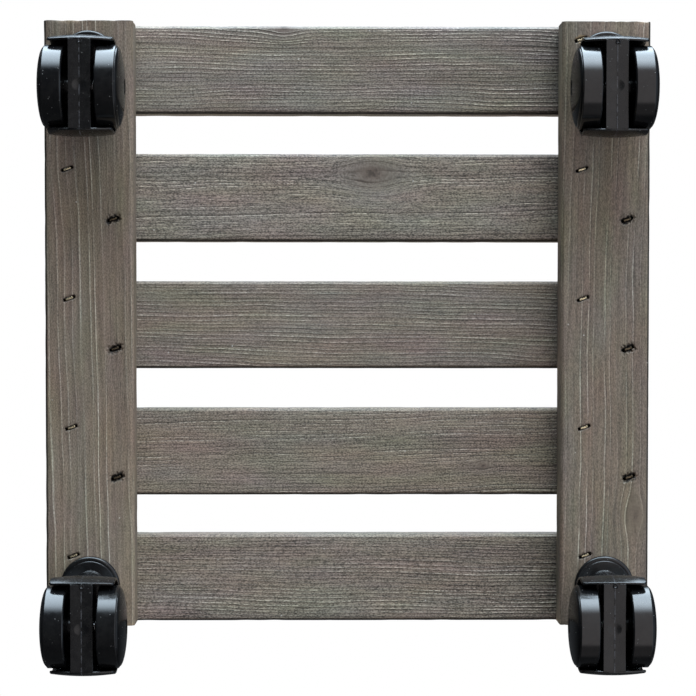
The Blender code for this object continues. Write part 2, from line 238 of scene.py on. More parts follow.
class Paint:
    """A material being made: short calls that add its nodes and join them."""

    def __init__(self, name, sockets=None):
        self.material = bpy.data.materials.new(name)
        self.material.use_nodes = True
        self.tree = self.material.node_tree
        self.shader = self.tree.nodes["Principled BSDF"]
        for key, value in (sockets or {}).items():
            self.shader.inputs[key].default_value = value

    def put(self, kind, inputs, output=0, **settings):
        node = self.tree.nodes.new("ShaderNode" + kind)
        for key, value in settings.items():
            setattr(node, key, value)
        for key, value in inputs.items():
            self.feed(node.inputs[key], value)
        return node.outputs[output]

    def feed(self, socket, value):
        if isinstance(value, bpy.types.NodeSocket):
            self.tree.links.new(value, socket)
        else:
            socket.default_value = value

    def math(self, operation, *values):
        return self.put("Math", dict(enumerate(values)), operation=operation)

    def less(self, first, second):
        return self.math("SUBTRACT", first, second)

    def size(self, value):
        return self.math("ABSOLUTE", value)

    def add(self, *values):
        total = values[0]
        for value in values[1:]:
            total = self.math("ADD", total, value)
        return total

    def times(self, *values):
        total = values[0]
        for value in values[1:]:
            total = self.math("MULTIPLY", total, value)
        return total

    def distance(self, first, second):
        """How far a point is from the middle, from its places along two axes."""
        return self.math("SQRT", self.add(self.times(first, first), self.times(second, second)))

    def step(self, value, low, high, start=0.0, end=1.0):
        """Value eased from start at low to end at high."""
        inputs = {0: value, 1: low, 2: high, 3: start, 4: end}
        return self.put("MapRange", inputs, interpolation_type="SMOOTHSTEP")

    def vector(self, x, y, z):
        return self.put("CombineXYZ", {0: x, 1: y, 2: z})

    def spread(self, value, start, end):
        """Noise, which is mostly between 0.3 and 0.7, spread from start to end."""
        return self.step(value, 0.3, 0.7, start, end)

    def noise(self, vector, scale=1.0, detail=2.0, roughness=0.5, output=0):
        inputs = {"Vector": vector, "Scale": scale, "Detail": detail, "Roughness": roughness}
        return self.put("TexNoise", inputs, output)

    def cells(self, vector, scale=1.0):
        """The distance to the nearest of many scattered points."""
        return self.put("TexVoronoi", {"Vector": vector, "Scale": scale, "Randomness": 1.0})

    def noise_along(self, value, scale, detail=1.0):
        inputs = {"W": value, "Scale": scale, "Detail": detail}
        return self.put("TexNoise", inputs, noise_dimensions="1D")

    def mix(self, factor, first, second, mode="MIX"):
        inputs = {0: factor, 6: first, 7: second}
        return self.put("Mix", inputs, 2, data_type="RGBA", blend_type=mode)

    def tinted(self, colour, factor):
        """A colour made lighter or darker by a factor."""
        return self.mix(1.0, colour, self.vector(factor, factor, factor), "MULTIPLY")

    def place(self, scale=1 / MM):
        """The piece's own coordinates, in millimetres unless another scale is given."""
        inputs = {"Vector": self.put("TexCoord", {}, "Object"), "Scale": (scale,) * 3}
        return self.put("Mapping", inputs)

    def split(self, vector):
        node = self.put("SeparateXYZ", {0: vector}).node
        return node.outputs[0], node.outputs[1], node.outputs[2]

    def finish(self, colour, roughness, height=None, depth=0.0):
        """Joins the shader. Depth is what a height of 1 stands for, in metres."""
        self.feed(self.shader.inputs["Base Color"], colour)
        self.feed(self.shader.inputs["Roughness"], roughness)
        if height is not None:
            bump = self.put("Bump", {"Height": height, "Distance": depth, "Strength": 1.0})
            self.feed(self.shader.inputs["Normal"], bump)
        return self.material


def rgb(red, green, blue):
    """A display colour of 0 to 255 as a linear one with alpha."""
    def linear(value):
        share = value / 255
        return share / 12.92 if share <= 0.04045 else ((share + 0.055) / 1.055) ** 2.4

    return (linear(red), linear(green), linear(blue), 1.0)


COOL_STAIN = rgb(121, 113, 103)
WARM_STAIN = rgb(124, 109, 92)
DARK_GRAIN = rgb(66, 58, 50)
PALE_GRAIN = rgb(186, 176, 158)
KNOT_BROWN = rgb(106, 88, 78)
# The black of painted shade, in the staple dents and along each board's lower outer edge.
PAINTED_SHADE_BLACK = rgb(14, 11, 9)
RAW_PINE = rgb(178, 150, 112)
SPECK_PALE = rgb(215, 210, 200)
HAZE_GREY = rgb(92, 92, 92)
DUST_GREY = rgb(168, 168, 164)
# The pale grey of the painted highlight along the web's parting line.
SEAM_HIGHLIGHT_GREY = rgb(150, 150, 156)

# How each board was sawn and stained, in millimetres.
#   seed: which part of the noise it takes; pith: where the tree's middle lies across and above the board's
#   own middle; drift: how far that moves across over the board's length; rings: their spacing.
#   line: share of a ring that is a pale line; pale, dark: how strongly those and the dark lines show;
#   solid: how unbroken the pale lines are; bold: how much stronger all lines get towards +x.
#   warm: how brown the stain is; tone: how light; fade: how much lighter the +x end is; grit: fine contrast;
#   outer: the side, +y or -y, whose lower edge gets a dark strip of painted shade; knots: (x, y, radius, how
#       dark).
RAIL_WOOD = dict(solid=0.7, bold=0.1, grit=0.55, outer=1, knots=[])
SLAT_WOOD = dict(solid=0.3, bold=0.3, outer=1, knots=[])
BOARDS = {
    "rail_left": dict(
        RAIL_WOOD,
        seed=3, pith=(52, -40), drift=-7, rings=3.3, line=0.17, pale=0.90, dark=0.16,
        warm=0.85, tone=1.02, fade=0.08,
    ),
    "rail_right": dict(
        RAIL_WOOD,
        seed=11, pith=(-60, -34), drift=6, rings=3.4, line=0.16, pale=0.75, dark=0.18,
        warm=0.80, tone=1.04, fade=-0.05, outer=-1, knots=[(95, -15.7, 1.9, 0.35)],
    ),
    "slat_1": dict(
        SLAT_WOOD,
        seed=23, pith=(90, -22), drift=3, rings=1.9, line=0.24, pale=0.70, dark=0.36,
        bold=1.2, warm=0.20, tone=1.12, fade=-0.06, grit=1.05, knots=[(-32, -21.5, 1.6, 0.9)],
    ),
    "slat_2": dict(
        SLAT_WOOD,
        seed=31, pith=(-95, -16), drift=-4, rings=1.8, line=0.24, pale=0.85, dark=0.42,
        warm=0.25, tone=1.12, fade=-0.02, grit=1.2, knots=[(12.9, -12.2, 2.7, 0.9)],
    ),
    "slat_3": dict(
        SLAT_WOOD,
        seed=47, pith=(86, -30), drift=5, rings=1.8, line=0.24, pale=0.60, dark=0.34,
        bold=0.2, warm=0.50, tone=1.10, fade=-0.04, grit=0.8,
    ),
    "slat_4": dict(
        SLAT_WOOD,
        seed=53, pith=(-80, -26), drift=-5, rings=1.8, line=0.22, pale=0.72, dark=0.42,
        warm=0.60, tone=1.08, fade=-0.04, grit=1.15, knots=[(69, 7.4, 0.7, 0.9)],
    ),
    "slat_5": dict(
        SLAT_WOOD,
        seed=61, pith=(94, -18), drift=4, rings=1.8, line=0.24, pale=0.60, dark=0.34,
        bold=1.2, warm=0.45, tone=1.08, fade=-0.06, grit=1.15,
    ),
}


class Pine(Paint):
    """One board's wood under its stain, in millimetres, with the grain along x."""

    def __init__(self, name, board):
        super().__init__(name, {"Specular IOR Level": 0.35})
        self.board = board
        self.x, self.y, self.z = self.split(self.place())
        half_x, half_y, self.half_thickness = span(name) / 2 / MM
        self.half_length, self.half_width = (half_y, half_x) if name in RAILS else (half_x, half_y)
        self.across = self.y
        self.heart, self.halo, self.swirl, self.turmoil = 0.0, 0.0, 0.0, 0.0
        for knot in board["knots"]:
            self.add_knot(*knot)
        self.add_rings()
        self.add_fibres()
        self.calm = self.step(self.size(self.y), self.half_width - 1.2, self.half_width - 0.5, 1.0, 0.4)
        self.end_grain = self.step(self.size(self.x), self.half_length - 0.7, self.half_length - 0.25)

    def add_knot(self, along, across, radius, strength):
        """Bends the grain round a knot and adds it to the masks of heart, halo, swirl and turmoil."""
        from_x = self.less(self.x, along)
        from_y = self.less(self.y, across)
        reach_x = self.math("DIVIDE", from_x, 6.2 * radius)
        reach_y = self.math("DIVIDE", from_y, 4.0 * radius)
        reach = self.add(self.times(reach_x, reach_x), self.times(reach_y, reach_y))
        near = self.math("EXPONENT", self.times(reach, -1.0))
        self.across = self.less(self.across, self.times(from_y, near, 0.82))
        ragged = self.times(self.noise(self.place(1 / (1.6 * MM)), 1.0, 3.0), 1.8 * radius)
        distance = self.add(self.distance(self.times(from_x, 0.55), from_y), ragged)
        heart = self.step(distance, 1.9 * radius, 1.1 * radius, 0.0, strength)
        core = self.math("POWER", near, 6.0)
        self.heart = self.add(self.heart, heart)
        self.halo = self.add(self.halo, self.times(core, strength))
        self.swirl = self.add(self.swirl, self.times(self.less(near, core), 1.7))
        self.turmoil = self.add(self.turmoil, near)

    def stretched(self, along, over, shift=0.0):
        """The board's coordinates in units of these lengths, moved to its own part of the noise."""
        seed = self.board["seed"]
        return self.vector(
            self.math("MULTIPLY_ADD", self.x, 1 / along, seed + shift),
            self.math("MULTIPLY_ADD", self.across, 1 / over, seed * 1.7),
            self.math("MULTIPLY_ADD", self.z, 1 / over, seed * 0.6),
        )

    def drawn(self, along, over, shift=0.0, detail=2.0, roughness=0.5):
        """Noise drawn out along the grain."""
        return self.noise(self.stretched(along, over, shift), 1.0, detail, roughness)

    def from_pith(self):
        """The distance from the tree's middle, which drifts and wanders along the board."""
        wander = self.less(self.drawn(110, 40), 0.5)
        ripple = self.less(self.drawn(20, 9, detail=1.0), 0.5)
        pith_y, pith_z = self.board["pith"]
        drift = self.board["drift"] / (2 * self.half_length)
        from_y = self.less(self.math("MULTIPLY_ADD", self.x, -drift, self.across), pith_y)
        from_z = self.less(self.z, pith_z)
        return self.add(self.distance(from_y, from_z), self.times(wander, 7.0), self.times(ripple, 0.7))

    def add_rings(self):
        """Sets where each ring's dark late wood is and where the pale line beside it is."""
        line = self.board["line"]
        from_pith = self.from_pith()
        uneven = self.times(self.noise_along(from_pith, 0.12, 1.0), 1.6)
        phase = self.math("MULTIPLY_ADD", from_pith, 1 / self.board["rings"], uneven)
        share = self.math("FRACT", phase)
        ring = self.add(self.math("FLOOR", phase), self.board["seed"] * 3.1)
        luck = self.put("TexWhiteNoise", {"W": ring}, noise_dimensions="1D")
        crest = self.add(self.step(share, line, 0.3 * line), self.step(share, 1 - 0.5 * line, 1.0))
        self.crest = self.times(crest, self.step(luck, 0.15, 0.85))
        self.late = self.times(self.step(share, 0.48, 0.86), self.step(share, 1.0, 0.93))

    def add_fibres(self):
        """Sets what is finer than the rings, all of it drawn out along the grain."""
        self.fibre = self.drawn(9, 0.5, 5.0, roughness=0.6)
        self.grit = self.drawn(1.0, 0.5, 11.0, detail=1.0)
        self.coarse = self.drawn(30, 1.3, 7.0)
        self.pores = self.step(self.drawn(3.0, 0.5, 17.0, detail=1.0), 0.66, 0.76)

    def grain(self):
        """The stain, from cool to warm, with the rings' dark and pale lines and the pores."""
        board = self.board
        warm = self.spread(self.drawn(60, 24, 9.0), board["warm"] - 0.15, board["warm"] + 0.15)
        broken = self.step(self.drawn(38, 6, 3.0), 0.36, 0.58)
        dashes = self.step(self.drawn(2.6, 1.1, 19.0, detail=1.0), 0.38, 0.56, board["solid"], 1.0)
        growing = self.step(self.x, 0.1 * self.half_length, self.half_length, 1.0, 1.0 + board["bold"])
        bold = self.times(self.add(growing, self.swirl), self.calm)
        dark = self.times(self.late, self.add(broken, 0.35), bold, 1.25 * board["dark"])
        pale = self.times(self.crest, self.add(broken, 0.15), dashes, bold, board["pale"])
        colour = self.mix(warm, COOL_STAIN, WARM_STAIN)
        colour = self.mix(dark, colour, DARK_GRAIN)
        colour = self.mix(pale, colour, PALE_GRAIN)
        return self.mix(self.times(self.pores, 0.45), colour, DARK_GRAIN)

    def lightness(self):
        """How light the wood is: fibres, grit, streaks, slow shading and the board's own tone."""
        board = self.board
        shading = self.drawn(75, 12, 13.0, detail=1.0)
        fine = self.step(self.turmoil, 0.0, 0.8, board["grit"], 0.35 * board["grit"])
        return self.add(
            self.times(self.spread(self.fibre, -0.22, 0.26), fine),
            self.times(self.spread(self.grit, -0.48, 0.56), fine),
            self.spread(self.coarse, -0.11, 0.11),
            self.spread(shading, -0.06, 0.06),
            self.math("MULTIPLY_ADD", self.x, board["fade"] / self.half_length, board["tone"]),
        )

    def painted_edge_shade(self):
        """Painted shade: a dark strip along the board's lower outer edge, standing in for the shade on that
        side.
        """
        outward = self.times(self.y, self.board["outer"])
        return self.times(
            self.step(outward, self.half_width - 1.3, self.half_width - 0.8),
            self.step(self.z, 3.6 - self.half_thickness, 1.2 - self.half_thickness),
        )

    def worn(self, colour):
        """The colour under knots, sawn ends, chips, painted shade along the lower outer edge, painted shade
        in the staple dents and pale specks, in that order.
        """
        dent_shade = self.put("Attribute", {}, "Fac", attribute_name="dent_shade")
        chip = self.put("Attribute", {}, "Fac", attribute_name="chip")
        speck = self.step(self.cells(self.stretched(11, 11, 21.0)), 0.045, 0.025)
        marks = []
        if self.board["knots"]:
            marks = [(self.times(self.halo, 0.75), KNOT_BROWN), (self.times(self.heart, 0.85), DARK_GRAIN)]
        marks += [
            (self.times(self.end_grain, 0.45), DARK_GRAIN),
            (self.times(chip, 0.75), RAW_PINE),
            # painted shade along the lower outer edge
            (self.times(self.painted_edge_shade(), 0.85), PAINTED_SHADE_BLACK),
            # painted shade in the staple dents
            (dent_shade, PAINTED_SHADE_BLACK),
            (self.times(speck, 0.6), SPECK_PALE),
        ]
        for share, mark in marks:
            colour = self.mix(share, colour, mark)
        return colour

    def relief(self):
        """The surface's height: raised late wood and fibres, pores, and saw marks on the ends."""
        sawn = self.vector(self.times(self.y, 0.05), self.times(self.y, 0.12), self.times(self.z, 2.4))
        return self.add(
            self.times(self.late, self.calm, 0.60),
            self.times(self.fibre, 0.50),
            self.times(self.grit, 0.45),
            self.times(self.coarse, 0.30),
            self.times(self.end_grain, self.noise(sawn, 1.0), 1.5),
            self.times(self.pores, -0.5),
        )


def stained_pine(name, board):
    """Softwood under a thin grey stain that takes a slightly different cast from place to place."""
    pine = Pine(name, board)
    colour = pine.tinted(pine.grain(), pine.lightness())
    cast = pine.noise(pine.stretched(45, 11, 29.0), output="Color")
    colour = pine.worn(pine.mix(0.13, colour, cast, "OVERLAY"))
    roughness = pine.add(pine.step(pine.fibre, 0.2, 0.8, 0.52, 0.68), pine.times(pine.late, -0.08))
    return pine.finish(colour, roughness, pine.relief(), 0.00011)


class Plastic(Paint):
    """Moulded black plastic with a fine skin, rubbed patches and dust, placed by chance on each piece."""

    def __init__(self, name, tone, roughness, grain, grain_size, dusty, gloss=0.5):
        super().__init__(name, {"Specular IOR Level": gloss})
        self.luck = self.put("ObjectInfo", {}, "Random")
        self.x, self.y, self.z = self.split(self.place())
        moved = self.put("VectorMath", {0: self.place(), 1: self.vector(self.times(self.luck, 90), 0, 0)})
        skin = self.noise(moved, 1 / grain_size, 2.0)
        cloud = self.noise(moved, 0.11, 3.0)
        haze = self.noise(moved, 0.35, 4.0, 0.65)
        dust = self.times(self.step(self.cells(moved, 0.42), 0.10, 0.05), self.step(haze, 0.40, 0.55))
        black, rubbed = (tone, tone, tone * 1.12, 1), (tone * 1.9, tone * 1.9, tone * 1.9, 1)
        colour = self.mix(self.step(cloud, 0.35, 0.70), black, rubbed)
        colour = self.mix(self.times(self.step(haze, 0.50, 0.75), dusty), colour, HAZE_GREY)
        rough = self.spread(haze, roughness - 0.03, roughness + 0.05)
        self.colour = self.mix(self.times(dust, 0.55), colour, DUST_GREY)
        self.rough = self.add(rough, self.times(dust, 0.3))
        self.height = self.add(self.times(skin, grain), self.times(dust, 0.4))

    def painted_seam_highlight(self):
        """A broken pale line along the middle of the web's foot, where the parting line runs: a painted
        highlight on the seam's edges.
        """
        along = self.noise_along(self.math("MULTIPLY_ADD", self.luck, 70, self.y), 0.25, 2.0)
        in_middle = self.step(self.size(self.x), 0.34, 0.14)
        seam_highlight = self.times(in_middle, self.step(along, 0.40, 0.56), 0.20)
        self.colour = self.mix(seam_highlight, self.colour, SEAM_HIGHLIGHT_GREY)

    def scratch_round(self):
        """Fine scratches round the x axis, as rolling leaves them."""
        angle = self.add(self.math("ARCTAN2", self.z, self.y), self.times(self.luck, 9))
        radius = self.distance(self.y, self.z)
        band = self.vector(self.times(self.x, 3.5), self.times(radius, 3.5), angle)
        marks = self.noise(band, 1.0, 3.0, 0.6)
        self.rough = self.add(self.rough, self.step(marks, 0.55, 0.75, 0.0, 0.08))
        self.height = self.add(self.height, self.times(self.step(marks, 0.62, 0.70), -0.10))

    def done(self):
        return self.finish(self.colour, self.rough, self.height, 0.00002)


def plated_steel(name, colour, tarnish, roughness, streak):
    """Drawn and plated wire or rod, with dull spots and fine streaks; streak is how many to a millimetre."""
    paint = Paint(name, {"Metallic": 1.0})
    along = [paint.times(value, count) for value, count in zip(paint.split(paint.place()), streak)]
    streaks = paint.noise(paint.vector(*along))
    spots = paint.noise(paint.place(), 0.9, 3.0)
    mixed = paint.mix(paint.step(spots, 0.48, 0.70), colour, tarnish)
    mixed = paint.tinted(mixed, paint.spread(streaks, 0.88, 1.08))
    rough = paint.add(paint.step(spots, 0.45, 0.70, roughness, roughness + 0.25), paint.times(streaks, 0.08))
    return paint.finish(mixed, rough, streaks, 0.00001)


# Boards

EDGE_CHAMFER = 1.35 * MM
EDGE_ROUND = 0.5 * MM
END_EASE = 0.45 * MM
GRID = 2.6 * MM
CHIP_REACH = 4 * MM
STAPLE_TURN = radians(-20)
DENT_REACH = 5.5 * MM
SAME_LEVEL = 20 * MM  # from a staple's middle to the face that it was driven into, at most

# The marks that staples leave: half length, width and its raggedness, depth, and how dark their painted shade
# is.
SHALLOW_DENT = dict(half=2.3 * MM, width=0.95 * MM, ragged=0.3, depth=0.9 * MM, dark=0.86)
DEEP_DENT = dict(half=1.7 * MM, width=1.7 * MM, ragged=0.7, depth=1.5 * MM, dark=0.96)


def is_deep(node):
    """The staples nearer each rail's +X edge sit deeper, in torn wood."""
    return node.endswith("_b")


STAPLES = [(node, middle(node)) for node in sorted(frame["nodes"]) if node.startswith("staple_")]
TORN_PLACE = middle("staple_right_1_a")


def along_crown(point, centre):
    """(along, aside) of a point from a staple's middle, turned with its crown."""
    dx, dy = point.x - centre.x, point.y - centre.y
    return dx * cos(STAPLE_TURN) + dy * sin(STAPLE_TURN), dy * cos(STAPLE_TURN) - dx * sin(STAPLE_TURN)


def dent_at(point):
    """(depth, painted shade) of the wood round the nearest staple: shade painted dark in the bowl and as a
    faint ring beyond its rim.
    """
    depth, dark = 0.0, 0.0
    for node, centre in STAPLES:
        if abs(point.x - centre.x) > DENT_REACH or abs(point.y - centre.y) > DENT_REACH:
            continue
        mark = DEEP_DENT if is_deep(node) else SHALLOW_DENT
        along, aside = along_crown(point, centre)
        ragged = noise.noise(point * 900 + Vector((centre.x, centre.y, 0)) * 300)
        gap = hypot(max(abs(along) - mark["half"], 0.0), aside)
        width = mark["width"] * (1 + mark["ragged"] * ragged)
        share = max(0.0, 1 - gap / (width * 1.6))
        bowl = share * share * (3 - 2 * share)
        rim = exp(-(((gap - width * 1.7) / (0.5 * MM)) ** 2))
        depth = max(depth, bowl * mark["depth"])
        dark = max(dark, min(1.0, bowl * 1.9) * mark["dark"], rim * 0.22 * (0.5 + ragged))
    return depth, dark


def dent_at_board(point):
    """Dents are only in the rails' undersides."""
    return dent_at(point) if point.z < RAIL_FACE + 2 * MM else (0.0, 0.0)


def torn_at(point):
    """How far the wood is torn open to raw pine beside the one staple that split it."""
    along, aside = along_crown(point, TORN_PLACE)
    ragged = noise.noise(point * 700)
    reach = hypot(along / (2.4 * MM), (aside + 0.5 * MM) / (1.6 * MM))
    return max(0.0, min(1.0, 3.0 * (1.25 - reach + 0.6 * ragged)))


class Board:
    """A rail or slat in its own axes: its length along x, its width along y and its underside towards -z."""

    def __init__(self, node):
        size = span(node)
        self.length, self.width = (size.y, size.x) if node in RAILS else (size.x, size.y)
        self.thickness = size.z
        self.underside = -size.z / 2
        self.centre = middle(node)
        self.turn = pi / 2 if node in RAILS else 0.0
        self.to_world = Matrix.Translation(self.centre) @ Matrix.Rotation(self.turn, 4, "Z")
        seed = BOARDS[node]["seed"]
        self.shift = Vector((seed * 7.3, seed * 3.1, seed * 5.7))

    def insets(self, point):
        """How far a point is in from the nearest side, face and end."""
        sizes = (self.width, self.thickness, self.length)
        return [size / 2 - abs(value) for size, value in zip(sizes, (point.y, point.z, point.x))]

    def noise_at(self, point, along, across, shifts=1):
        """Noise from -1 to 1 with these many waves to a metre along and across the board."""
        x, y, z = point
        return noise.noise(Vector((x * along, y * across, z * across)) + self.shift * shifts)


def board_stations(length):
    """Places along a board where its outline repeats, from end to end."""
    near = [0.0, 0.12 * MM, END_EASE, 1.0 * MM, 2.0 * MM, 3.6 * MM]
    inside = length - 2 * near[-1]
    steps = round(inside / GRID)
    inner = [near[-1] + inside * i / steps for i in range(1, steps)]
    places = near + inner + [length - offset for offset in reversed(near)]
    return [place - length / 2 for place in places]


def board_outline(width, thickness):
    """A board's section as points spaced closely enough to take dents and worn edges."""
    corners = []
    for v, u in ((-1, -1), (1, -1), (1, 1), (-1, 1)):
        on_side = (v * width / 2, u * (thickness / 2 - EDGE_CHAMFER), EDGE_ROUND)
        on_face = (v * (width / 2 - EDGE_CHAMFER), u * thickness / 2, EDGE_ROUND)
        corners += [on_side, on_face] if v == u else [on_face, on_side]
    rounded = eased(corners, 2)
    outline = []
    for (v, u), (next_v, next_u) in zip(rounded, rounded[1:] + rounded[:1]):
        pieces = max(1, round(hypot(next_v - v, next_u - u) / GRID))
        for step in range(pieces):
            share = step / pieces
            outline.append((v + (next_v - v) * share, u + (next_u - u) * share))
    return outline


def board_mesh(board):
    """A board with worn edges, chipped ends and, near staples, fine faces for the dents."""
    outline = board_outline(board.width, board.thickness)
    bm = bmesh.new()
    rows = []
    for place in board_stations(board.length):
        short = END_EASE - (board.length / 2 - abs(place))
        tuck = END_EASE - sqrt(END_EASE**2 - short**2) if short > 0 else 0.0
        narrow, flat = 1 - 2 * tuck / board.width, 1 - 2 * tuck / board.thickness
        rows.append([bm.verts.new((place, v * narrow, u * flat)) for v, u in outline])
    bridge(bm, rows)
    bm.faces.new(rows[0])
    bm.faces.new(rows[-1])
    refine_near_staples(bm, board)
    wear_down(bm, board)
    bmesh.ops.triangulate(bm, faces=[face for face in bm.faces if len(face.verts) > 4])
    return mesh_from(bm, "board")


def refine_near_staples(bm, board):
    """Splits the faces of the underside near each staple, twice."""
    for reach in (DENT_REACH, 0.8 * DENT_REACH):
        edges = set()
        for face in bm.faces:
            centre = face.calc_center_median()
            if centre.z > board.underside + 0.1 * MM:
                continue
            point = board.to_world @ centre
            near = [place for _, place in STAPLES if (point - place).xy.length < reach]
            if any(abs(place.z - point.z) < SAME_LEVEL for place in near):
                edges.update(face.edges)
        if edges:
            bmesh.ops.subdivide_edges(bm, edges=list(edges), cuts=2, use_grid_fill=True)


def wear_down(bm, board):
    """Moves every point a little way in: planed faces wave, long edges are rubbed, and ends are chipped."""
    for vert in bm.verts:
        start = vert.co.copy()
        x, y, z = start
        side, face, to_end = board.insets(start)
        inward = Vector((0, -y, 0)).normalized() if side < face else Vector((0, 0, -z)).normalized()
        wave = 0.5 + 0.5 * board.noise_at(start, 26, 60)
        vert.co += inward * wave * 0.06 * MM
        if side < 2 * MM and face < 2 * MM:
            corner = Vector((0, -y / abs(y), -z / abs(z))).normalized()
            rub = max(0.0, board.noise_at(start, 90, 40))
            vert.co += corner * rub * 0.35 * MM
        if to_end < CHIP_REACH and min(side, face) < 1.6 * MM:
            chip = max(0.0, board.noise_at(start, 150, 210, 2) - 0.12)
            vert.co += inward * chip * (1 - to_end / CHIP_REACH) * 1.5 * MM
            vert.co.x -= (x / abs(x)) * chip * max(0.0, 1 - to_end / (1.2 * MM)) * 0.9 * MM
        if z < board.underside + 0.3 * MM:
            vert.co.z += dent_at_board(board.to_world @ start)[0]


def mark_wear(mesh, board):
    """Point attributes for the paint: how much painted shade lies in the staple dents, and where a chip shows
    raw wood.
    """
    dents = mesh.attributes.new("dent_shade", "FLOAT", "POINT").data
    chips = mesh.attributes.new("chip", "FLOAT", "POINT").data
    for index, vert in enumerate(mesh.vertices):
        side, face, to_end = board.insets(vert.co)
        height = vert.co.z - board.underside
        if height < 2.2 * MM:
            dents[index].value = dent_at_board(board.to_world @ vert.co)[1]
        worn = max(0.0, board.noise_at(vert.co, 70, 60) - 0.1)
        on_edge = max(0.0, 1 - (side + face) / (1.6 * MM))
        at_end = max(0.0, 1 - to_end / (2 * MM)) if min(side, face) < 1.2 * MM else 0.0
        torn = torn_at(board.to_world @ vert.co) if height < 1.5 * MM else 0.0
        chips[index].value = min(1.0, max(torn, worn * 2.2 * max(on_edge * 0.5, at_end)))


def staple_channel():
    """The slot that a staple's wire needs, open below."""
    half, leg, wire = 3.15 * MM, 28.4 * MM, 1.4 * MM
    outline = [
        (-half, leg), (-half, -3 * MM), (half, -3 * MM), (half, leg),
        (half - wire, leg - wire), (half - wire, wire), (wire - half, wire), (wire - half, leg - wire),
    ]
    return mesh_from(prism(outline, -0.8 * MM, 0.8 * MM, lambda u, v, w: (u, w, v)), "channel")


def socket_hole():
    bottom = RAIL_FACE - 3 * MM
    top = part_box("caster_front_left_socket")[1].z + 0.3 * MM
    radius = 5.75 * MM
    return mesh_from(turned([(0, bottom), (radius, bottom), (radius, top), (0, top)], 40), "socket_hole")


def cutters_over(node):
    """One mesh of the staple slots and socket holes that run into a board."""
    low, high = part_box(node)
    channel, hole = staple_channel(), socket_hole()
    slant = Matrix.Rotation(STAPLE_TURN, 4, "Z")
    stems = [middle(f"{caster}_stem") for caster in CASTERS]
    cuts = [(channel, (*centre.xy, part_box(staple)[0].z), slant) for staple, centre in STAPLES]
    cuts += [(hole, (*stem.xy, 0), Matrix()) for stem in stems]
    found = [cut for cut in cuts if low.x < cut[1][0] < high.x and low.y < cut[1][1] < high.y]
    return joined([(mesh, Matrix.Translation(place) @ turn) for mesh, place, turn in found])


def add_board(node):
    """A rail or slat, rebuilt as a worn board with its grain along its own X."""
    board = Board(node)
    mesh = board_mesh(board)
    cutter = cutters_over(node)
    cutter.transform(board.to_world.inverted())
    mesh = combined(mesh, [cutter], "DIFFERENCE")
    mark_wear(mesh, board)
    shade(mesh, 40)
    material = stained_pine(node, BOARDS[node])
    add_piece(f"{node}_board", mesh, node, "deck", material, board.centre, board.turn)


# Staples

CROWN = 5.8 * MM
WIRE_WIDTH = 1.35 * MM
WIRE_HEIGHT = 0.9 * MM
WIRE_CORNER = 0.42 * MM


def staple_mesh(leg):
    """A wire of rounded flat section, bent to a staple with its crown down, its middle at the origin."""
    bend = 1.15 * MM
    half = CROWN / 2 - WIRE_HEIGHT / 2
    bottom = WIRE_HEIGHT / 2
    path = [(-half, leg), (-half, bottom + bend)]
    path += arc((bend - half, bottom + bend), bend, pi, 1.5 * pi, 6)[1:]
    path += arc((half - bend, bottom + bend), bend, 1.5 * pi, 2 * pi, 6)
    path += [(half, leg)]
    corners = ((1, 1), (-1, 1), (-1, -1), (1, -1))
    section = eased([(s * WIRE_WIDTH / 2, t * WIRE_HEIGHT / 2, WIRE_CORNER) for s, t in corners], 3)
    bm = bmesh.new()
    rings = []
    for index, (u, v) in enumerate(path):
        before = Vector(path[max(index - 1, 0)])
        after = Vector(path[min(index + 1, len(path) - 1)])
        ahead = (after - before).normalized()
        rings.append([bm.verts.new((u - ahead.y * t, s, v + ahead.x * t)) for s, t in section])
    bridge(bm, rings)
    bm.faces.new(rings[0])
    bm.faces.new(rings[-1])
    return smooth(mesh_from(bm, "staple"))


def staple_wire(name, bright, stained):
    """Yellow wire with painted shade: darkened towards its sides, so that only a thin line along the crown
    stays bright, and towards its ends, where it turns up into the wood. Bright is the wire's own colour;
    stained is the colour of its painted shade and of its dull spots.
    """
    paint = Paint(name, {"Metallic": 1.0})
    x, y, _ = paint.split(paint.place())
    spots = paint.noise(paint.place(), 1.3, 3.0)
    shaded_ends = paint.step(paint.size(x), 1.1, 2.2)
    shaded_sides = paint.step(paint.size(y), 0.22, 0.55)
    # dull: painted shade at the sides and ends, together with the real dull spots
    dull = paint.math("MAXIMUM", paint.math("MAXIMUM", shaded_ends, shaded_sides), paint.step(spots, 0.50, 0.64))
    rough = paint.step(spots, 0.4, 0.7, 0.30, 0.50)
    return paint.finish(paint.mix(dull, bright, stained), rough, spots, 0.00003)


def add_staples():
    clean = staple_wire("staple_wire_clean", rgb(242, 226, 188), rgb(40, 28, 18))
    # The deep staples' wire is painted darker all over: painted shade for the torn hollows they sit deep in.
    buried_shaded = staple_wire("staple_wire_buried", rgb(112, 100, 82), rgb(14, 11, 9))
    leg = span(STAPLES[0][0]).z
    kinds = {False: (staple_mesh(leg), clean), True: (staple_mesh(leg), buried_shaded)}
    for node, centre in STAPLES:
        mesh, wire = kinds[is_deep(node)]
        place = (*centre.xy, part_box(node)[0].z)
        add_piece(f"{node}_wire", mesh, node, "deck", wire, place, STAPLE_TURN)


# Casters. A wheel is drawn round its own middle, about X. The other meshes are drawn round the stem's axis,
# with the floor at height 0.

WEB_HALF = 5.4 * MM
HOOD_WALL = 1.3 * MM
HOOD_CROWN = 1.1 * MM
LIP_CORNER = 2.2 * MM
LIP_BOW = 1.2 * MM
RIM_FACE = 7.8 * MM  # how far along the axle a wheel's tread begins
FOOT_SINK = 0.12 * MM
NECK_RADIUS = 7.2 * MM
STEM_BORE = 4.3 * MM
AXLE_BORE = 2.8 * MM
HUB = 4.8 * MM  # radius of a wheel's hub
RIM = 16.6 * MM  # inner radius of its tread
DISC = 14.0 * MM  # how far along the axle its disc begins
SHOULDER = 17.4 * MM  # how far along the axle its cover begins


